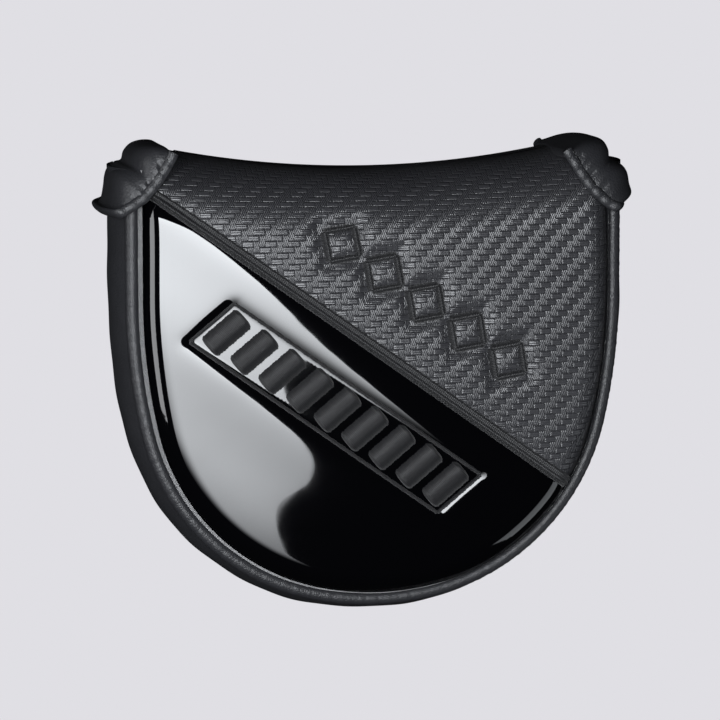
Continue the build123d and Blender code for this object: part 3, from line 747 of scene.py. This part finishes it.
# ---------------------------------------------------------------- seam and embroidery
def satin_strip(run, half_width, height, pitch, flat, fine=0.1, fade=0.8):
    """Points of a raised satin strip that follows a run made by line_between.

    pitch is from thread to thread, a higher flat gives a flatter top, and fade is how long
    its rounded ends are.
    """
    length = run["length"]
    along = np.linspace(0, length, max(8, int(length / fine)))
    across = np.linspace(-1, 1, 11)
    ends = np.clip(np.minimum(along, length - along) / fade, 0, 1)
    ends = np.sqrt(1 - (1 - ends) ** 2)
    wobble = 0.06 * np.sin(along * 7.1) + 0.05 * np.sin(along * 2.3 + 1)
    half = half_width * (0.35 + 0.65 * ends) + wobble
    a, s = np.meshgrid(along, across, indexing="ij")
    lift = height * np.maximum(0, 1 - np.abs(s) ** flat) * ends[:, None]
    lift += 0.1 * np.sin(2 * math.pi * (a / pitch + 0.35 * s)) * (0.3 + 0.7 * ends[:, None])
    way = run["way"]
    side = np.array((-way[1], way[0]))
    spot = run["start"] + a[..., None] * way + (s * half[:, None])[..., None] * side
    x, v = seam_place(spot[..., 0], spot[..., 1])
    return front_surface(x, v, lift - 0.12)


def join_grids(name, grids, material):
    """One piece from several grids of points."""
    verts, faces = [], []
    for points in grids:
        faces += grid_faces(points.shape[0], points.shape[1], start=len(verts))
        verts += points.reshape(-1, 3).tolist()
    return make_mesh(name, verts, faces, material)


def line_between(start, end):
    """A straight run between two places, each given as distances along and above the diagonal seam."""
    start, end = np.array(start, float), np.array(end, float)
    length = float(np.linalg.norm(end - start))
    return {"start": start, "way": (end - start) / length, "length": length}


def seam_ends():
    """Where the diagonal seam meets the left hem and the right rim."""
    along = np.arange(-80, 80, 0.2)
    x, y = seam_place(along, 0.0)
    room = (outline_inset(x, y) > PANEL_INSET + 0.6) & (hem_circle(x, y) > 0.2)
    return along[room][0], along[room][-1]


seam_from, seam_to = seam_ends()
band = line_between((seam_from, 0), (seam_to, 0))
grids = [satin_strip(band, SEAM_WIDTH / 2, 1.15, 0.5, flat=6.0, fade=0.4)]
ridge = line_between((seam_from, -SEAM_WIDTH / 2 - 0.2), (seam_to, -SEAM_WIDTH / 2 - 0.2))
grids.append(satin_strip(ridge, 0.4, 0.75, 0.9, fine=0.15, flat=2.0))
finish_piece(join_grids("satin_seam", grids, THREAD), "pouch", ["diagonal_satin_seam"])

grids = []
for number in range(DIAMOND_COUNT):
    middle = UPPER_SHIFT + (number - (DIAMOND_COUNT - 1) / 2) * DIAMOND_WIDTH
    half_w, half_h = 0.86 * DIAMOND_WIDTH / 2, 0.88 * DIAMOND_HEIGHT / 2
    sides = ((-half_w, 0), (0, half_h), (half_w, 0), (0, -half_h))
    corners = [(middle + a, UPPER_OFFSET + b) for a, b in sides]
    for here, there in zip(corners, corners[1:] + corners[:1]):
        grids.append(satin_strip(line_between(here, there), 1.0, 1.45, 0.42, flat=2.2))
finish_piece(join_grids("diamond_embroidery", grids, THREAD), "pouch", ["upper_embroidery"])

grids = []
for number in range(BAR_COUNT):
    middle = LOWER_SHIFT + (number - (BAR_COUNT - 1) / 2) * BAR_PITCH
    foot = (middle - BAR_SLANT / 2, LOWER_OFFSET - BAR_HEIGHT / 2)
    top = (middle + BAR_SLANT / 2, LOWER_OFFSET + BAR_HEIGHT / 2)
    grids.append(satin_strip(line_between(foot, top), 0.53 * BAR_WIDTH, 1.9, 0.4, flat=3.2, fade=1.1))
half_a, half_b = BAR_COUNT * BAR_PITCH / 2 + 0.1, BAR_HEIGHT / 2 + 1.3
lean = BAR_SLANT / BAR_HEIGHT
frame_corners = [(-half_a, -half_b), (half_a, -half_b), (half_a, half_b), (-half_a, half_b)]
frame_corners = [(LOWER_SHIFT + a + b * lean, LOWER_OFFSET + b) for a, b in frame_corners]
for here, there in zip(frame_corners, frame_corners[1:] + frame_corners[:1]):
    grids.append(satin_strip(line_between(here, there), 0.5, 0.75, 0.42, flat=2.0, fade=0.5))
finish_piece(join_grids("bar_embroidery", grids, THREAD), "pouch", ["lower_embroidery"])


# ---------------------------------------------------------------- gusset, piping and back
def piping(name, z, nodes):
    """Leather-covered piping along the U, with small puckers."""
    path, normals = u_path(PIPING_INSET, 0.6, 52.0)
    turns = np.linspace(0, 2 * math.pi, 20, endpoint=False)
    run = np.concatenate([[0], np.cumsum(np.linalg.norm(np.diff(path, axis=0), axis=1))])
    pucker = 0.05 * np.sin(run * 1.9) * np.sin(run * 0.31 + 1) + 0.04 * np.sin(run * 3.7 + 2)
    radius = (PIPING_RADIUS + pucker)[:, None]
    profile = np.stack([radius * np.cos(turns), z + radius * np.sin(turns)], -1)
    piece = grid_piece(name, sweep(path, normals, profile), LEATHER, close=True)
    return finish_piece(piece, "pouch", nodes)


piping("front_piping", FRONT_PIPING_Z, ["front_piping_cover", "front_piping_cord"])
piping("back_piping", BACK_PIPING_Z, ["back_piping_cover", "back_piping_cord"])


def side_wall(name, inset, bulge, low, high, material, flip):
    """A band round the U that swells outwards: the gusset or its lining."""
    path, normals = u_path(inset, 0.8, 54.0)
    t = np.linspace(-1, 1, 25)
    run = np.concatenate([[0], np.cumsum(np.linalg.norm(np.diff(path, axis=0), axis=1))])
    wave = 0.12 * np.sin(run[:, None] / 5.3 + 1.5 * t) + 0.08 * np.sin(run[:, None] / 2.4 - 2 * t)
    outward = -bulge * t**2 + wave * (1 - t**2)
    z = np.broadcast_to((low + high) / 2 + (high - low) / 2 * t, outward.shape)
    return grid_piece(name, sweep(path, normals, np.stack([outward, z], -1)), material, flip=flip)


gusset = side_wall("side_gusset", 0.0, 3.0, BACK_PIPING_Z, FRONT_PIPING_Z, LEATHER, False)
finish_piece(gusset, "pouch", ["side_wall_skin", "side_wall_foam"])
inner = side_wall("side_lining", 4.2, 2.2, BACK_PIPING_Z, FRONT_PIPING_Z + 4, PLUSH, True)
finish_piece(inner, "pouch", ["side_wall_lining"])

MOUTH_Y, MOUTH_RADIUS = 38.0, 138.0
BACK_STEP_Y, BACK_UPPER_Z = 4.0, 3.7
BACK_LINING_INSET, FRONT_LINING_INSET = 6.4, 6.6
LINING_DEPTH = 5.2  # from the front's face to its lining's


def mouth_line(x):
    """The back's mouth edge."""
    return MOUTH_Y + MOUTH_RADIUS - np.sqrt(MOUTH_RADIUS**2 - np.minimum(np.abs(x), 80) ** 2)


def back_height(x, y):
    """Outer face of the padded lower back and the thin upper back."""
    inside = outline_inset(x, y) - PANEL_INSET
    step = np.clip((y - BACK_STEP_Y + 1.6) / 1.6, 0, 1)
    edge = 3.0 - np.sqrt(9.0 - np.clip(3.0 - inside, 0, 2.99) ** 2)
    crease = np.exp(-(((y - BACK_STEP_Y + 4.5) / 0.7) ** 2)) * 0.5
    rise = BACK_UPPER_Z * (1 - np.sqrt(np.maximum(1 - step**2, 0)))
    swell = 0.12 * (1 + np.sin(x / 9) * np.cos(y / 8))
    return np.maximum(rise + crease, edge) + swell


def back_sheet(name, inset, height, material, flip):
    """A plane region of the back as one even sheet."""
    path, _ = u_path(inset, 0.9, 52.0)
    xs = np.arange(-60, 60.1, 1.0)
    mouth = np.stack([xs, mouth_line(xs)], -1)

    def keep(x, y, margin):
        return (outline_inset(x, y) > inset + margin) & (y < mouth_line(x) - margin)

    flat, faces = triangulate([path, mouth], 1.1, keep)
    z = height(flat[:, 0], flat[:, 1])
    return make_mesh(name, np.column_stack([flat, z]), faces[:, ::-1] if flip else faces, material)


def inner_back_height(x, y):
    """Level inner face of the back."""
    return np.full_like(x, 7.2)


back = back_sheet("back_panel", PANEL_INSET, back_height, LEATHER, True)
finish_piece(back, "pouch", ["back_lower_panel", "back_lower_foam", "back_upper_panel", "back_upper_foam",
                             "back_magnets"])
floor_sheet = back_sheet("back_inner_lining", BACK_LINING_INSET, inner_back_height, PLUSH, False)
finish_piece(floor_sheet, "pouch", ["back_lining"])

xs = np.linspace(-54, 54, 160)
line = np.column_stack([xs, mouth_line(xs) + 0.2, np.full_like(xs, 5.4)])
turns = np.linspace(0, 2 * math.pi, 16, endpoint=False)
rings = line[:, None] + np.stack([np.zeros(16), 1.1 * np.cos(turns), 1.9 * np.sin(turns)], -1)[None]
finish_piece(grid_piece("mouth_edge_binding", rings, LEATHER, close=True), "pouch", ["mouth_binding"])


def front_lining():
    """Lining on the inside of the front."""
    path, _ = u_path(FRONT_LINING_INSET, 0.9, 50.0)
    xs = np.arange(-60, 60.1, 1.0)

    def keep(x, y, margin):
        return (outline_inset(x, y) > FRONT_LINING_INSET + margin) & (y < FOLD_Y - margin)

    top = np.column_stack([xs, np.full_like(xs, FOLD_Y)])
    flat, faces = triangulate([path, top], 1.2, keep)
    z = dome_z(flat[:, 0], flat[:, 1]) - LINING_DEPTH
    return make_mesh("front_inner_lining", np.column_stack([flat, z]), faces[:, ::-1], PLUSH)


finish_piece(front_lining(), "pouch", ["front_lining"])


# ---------------------------------------------------------------- ears
EAR_LOW, EAR_HIGH = node_box("right_ear_cover")[0][2], node_box("right_ear_cover")[1][2]
EAR_OUTLINE = np.array(((49.5, 57.0), (53.4, 59.7), (56.6, 60.0), (59.3, 59.2), (61.0, 57.2), (61.6, 54.9),
                        (63.2, 54.3), (65.0, 53.0), (65.9, 51.2), (66.3, 48.4), (66.8, 45.6), (65.6, 42.3)))
HEM_THICKNESS, HEM_WIDTH = 1.5, 2.7


def smooth_line(points, count):
    """A Catmull-Rom line through points."""
    points = np.vstack([2 * points[0] - points[1], points, 2 * points[-1] - points[-2]])
    spans = len(points) - 3
    out = []
    for t in np.linspace(0, spans - 1e-6, count):
        i, f = int(t), t - int(t)
        a, b, c, d = points[i : i + 4]
        square, cube = 2 * a - 5 * b + 4 * c - d, 3 * b - a - 3 * c + d
        out.append(0.5 * (2 * b + (c - a) * f + square * f**2 + cube * f**3))
    return np.array(out)


def barrel(points, middle, half):
    """Draws the ear in towards its front and back, so that it bulges half way up."""
    height = np.abs(points[..., 2] - middle) / half
    reach = np.clip((np.abs(points[..., 0]) - 50) / 12, 0, 1)
    shaped = points.copy()
    shaped[..., 0] -= np.sign(points[..., 0]) * 2.9 * reach * np.minimum(height, 1.05) ** 3
    return shaped


def hem_point(share, side):
    """Point of the hem's arc, from the ear's top to its foot, as if the ear were on the right."""
    turn = HEM_START + share * HEM_SPAN
    return HEM_CENTRE + HEM_SHIFT[side] + HEM_RADIUS * np.stack([np.cos(turn), np.sin(turn)], -1)


def ear(side):
    """One gathered ear with its hem and its stitches."""
    name = "right" if side > 0 else "left"
    rows = 90
    share = np.linspace(0, 1, rows)
    corners = EAR_OUTLINE.copy()
    corners[[0, -1]] += HEM_SHIFT[side]
    outer, hem = smooth_line(corners, rows), hem_point(share, side)
    middle, half = (EAR_LOW + EAR_HIGH) / 2, (EAR_HIGH - EAR_LOW) / 2
    turn = np.linspace(math.pi / 2, -math.pi / 2, 64)
    cos, sin = np.abs(np.cos(turn)) ** (2 / 2.9), np.sign(np.sin(turn)) * np.abs(np.sin(turn)) ** (2 / 5.0)
    gather = 0.55 * np.sin(share * 23 + side) * np.sin(share * math.pi) + 0.3 * np.sin(share * 51 + 2 * side)
    gather[[0, -1]] = 0
    spread = (outer - hem)[:, None] * cos[None, :, None]
    bow = 0.04 * np.sin(3 * turn + side)[None, :] * np.sin(share * 9)[:, None]
    xy = hem[:, None] + spread * (1 + bow[..., None])
    lift = gather[:, None] * np.sin(np.minimum(cos * 2.2, 1) * math.pi * 0.9)[None]
    z = middle + sin[None] * (half + 0.5 * lift)
    points = np.concatenate([xy * (side, 1), z[..., None]], -1)
    points = barrel(points, middle, half)
    cover = grid_piece(f"{name}_ear", points, LEATHER, flip=side > 0)
    finish_piece(cover, "pouch", [f"{name}_ear_cover", f"{name}_ear_elastic", f"{name}_ear_lining"])
    loop = []
    front, rear = EAR_HIGH - 0.1, EAR_LOW + 0.1
    for t in share:
        loop.append((*hem_point(t, side), front + 0.12 * math.sin(t * 40)))
    foot, top = hem_point(1.0, side), hem_point(0.0, side) + (0.4, -1.0)
    loop += [(*foot, z) for z in np.linspace(front, rear, 50)[1:-1]]
    loop += [(*hem_point(t, side), rear) for t in share[::-1]]
    loop += [(*top, z) for z in np.linspace(rear, front, 50)[1:]]
    loop = np.array(loop) * (side, 1, 1)
    loop = np.vstack([loop, loop[:2]])
    for _ in range(6):
        loop[1:-1] = (loop[:-2] + 2 * loop[1:-1] + loop[2:]) / 4
    loop = barrel(loop, middle, half)
    inward = np.array((-HEM_OUT[0] * side, -HEM_OUT[1], 0))
    hem_piece = tube(f"{name}_ear_hem", loop, HEM_THICKNESS, HEM_WIDTH, inward, LEATHER)
    finish_piece(hem_piece, "pouch", [f"{name}_ear_hem_binding"])
    grids = []
    marks = np.linspace(0.04, 0.96, 15)
    for here in marks:
        a, b = hem_point(here, side), hem_point(here + 0.035, side)
        out = (a - HEM_CENTRE - HEM_SHIFT[side]) / HEM_RADIUS
        a, b = a - out, b - out
        arch = [(t, front + 0.55 + 0.2 * math.sin(t * math.pi)) for t in np.linspace(0, 1, 6)]
        run = np.array([(*(a + (b - a) * t), z) for t, z in arch])
        run = barrel(run * (side, 1, 1), middle, half)
        along = np.array((b - a)[0] * side), np.array((b - a)[1])
        across = np.array((-along[1], along[0])) / math.hypot(*along) * 0.17
        grids.append(np.stack([run - (*across, 0.1), run + (0, 0, 0.08), run + (*across, -0.1)], 1))
    finish_piece(join_grids(f"{name}_hem_stitches", grids, THREAD), "pouch", [f"{name}_ear_stitches"])


for side in (-1, 1):
    ear(side)


# ---------------------------------------------------------------- camera, lights and floor
VIEW_LEFT, VIEW_UP = math.radians(10.7), math.radians(7.4)
VIEW_DISTANCE, LENS = 1.013, 200.0
AIM = Vector((-0.002, 0.0039, 0.022))


def add_camera():
    """The camera, nearly straight above the front."""
    data = bpy.data.cameras.new("camera")
    data.lens = LENS
    camera = bpy.data.objects.new("camera", data)
    bpy.context.scene.collection.objects.link(camera)
    away = Vector((-math.sin(VIEW_LEFT), math.sin(VIEW_UP), 0))
    away.z = math.sqrt(1 - away.length_squared)
    right = Vector((0, 1, 0)).cross(away).normalized()
    up = away.cross(right)
    turn = Matrix((right, up, away)).transposed().to_4x4()
    camera.matrix_world = Matrix.Translation(AIM + away * VIEW_DISTANCE) @ turn
    bpy.context.scene.camera = camera


def add_light(name, place, size, power, aim, colour, fade=False):
    """A rectangular soft light, which can fade towards its near end."""
    data = bpy.data.lights.new(name, "AREA")
    data.shape = "RECTANGLE"
    data.size, data.size_y = size
    data.energy = power
    data.color = colour
    if fade:
        data.use_nodes = True
        tree = data.node_tree
        where = tree.nodes.new("ShaderNodeNewGeometry")
        split = tree.nodes.new("ShaderNodeSeparateXYZ")
        ramp = tree.nodes.new("ShaderNodeMapRange")
        ramp.interpolation_type = "SMOOTHSTEP"
        ramp.inputs["To Min"].default_value, ramp.inputs["To Max"].default_value = 0.02, 1.42
        tree.links.new(where.outputs["Parametric"], split.inputs[0])
        tree.links.new(split.outputs["Y"], ramp.inputs["Value"])
        tree.links.new(ramp.outputs["Result"], tree.nodes["Emission"].inputs["Strength"])
    light = bpy.data.objects.new(name, data)
    bpy.context.scene.collection.objects.link(light)
    direction = Vector(aim) - Vector(place)
    light.matrix_world = Matrix.Translation(place) @ direction.to_track_quat("-Z", "Y").to_matrix().to_4x4()


def add_floor():
    """A plain pale floor that only the camera sees, from above, so it sends no light up."""
    material = bpy.data.materials.new("floor")
    material.use_nodes = True
    tree = material.node_tree
    tree.nodes.clear()
    glow = tree.nodes.new("ShaderNodeEmission")
    glow.inputs["Color"].default_value = (0.745, 0.738, 0.776, 1)
    clear = tree.nodes.new("ShaderNodeBsdfTransparent")
    facing = tree.nodes.new("ShaderNodeNewGeometry")
    mix = tree.nodes.new("ShaderNodeMixShader")
    output = tree.nodes.new("ShaderNodeOutputMaterial")
    tree.links.new(facing.outputs["Backfacing"], mix.inputs[0])
    tree.links.new(glow.outputs[0], mix.inputs[1])
    tree.links.new(clear.outputs[0], mix.inputs[2])
    tree.links.new(mix.outputs[0], output.inputs[0])
    half = 6.0
    corners = [(-half, -half, 0), (half, -half, 0), (half, half, 0), (-half, half, 0)]
    mesh = bpy.data.meshes.new("floor")
    mesh.from_pydata(corners, [], [(0, 1, 2, 3)])
    mesh.materials.append(material)
    floor = bpy.data.objects.new("floor", mesh)
    floor.location.z = -0.0006
    floor.visible_diffuse = floor.visible_glossy = False
    bpy.context.scene.collection.objects.link(floor)


SOFTBOX_XY = (-0.305, -0.15)
COVER = (0, 0, 0.03)
add_camera()
add_light("softbox", (*SOFTBOX_XY, 0.85), (0.72, 0.75), 15.5, (*SOFTBOX_XY, 0), (0.93, 0.96, 1.0), fade=True)
add_light("side", (-0.8, 0.1, 0.3), (0.8, 0.3), 2.6, COVER, (0.95, 0.97, 1.0))
add_light("fill", (0.75, -0.5, 0.35), (0.5, 0.5), 0.8, COVER, (0.9, 0.95, 1.0))
add_floor()
world = bpy.data.worlds.new("studio")
world.use_nodes = True
world.node_tree.nodes["Background"].inputs["Color"].default_value = (0.5, 0.52, 0.55, 1)
world.node_tree.nodes["Background"].inputs["Strength"].default_value = 0.008
bpy.context.scene.world = world
bpy.context.scene.view_settings.view_transform = "Standard"
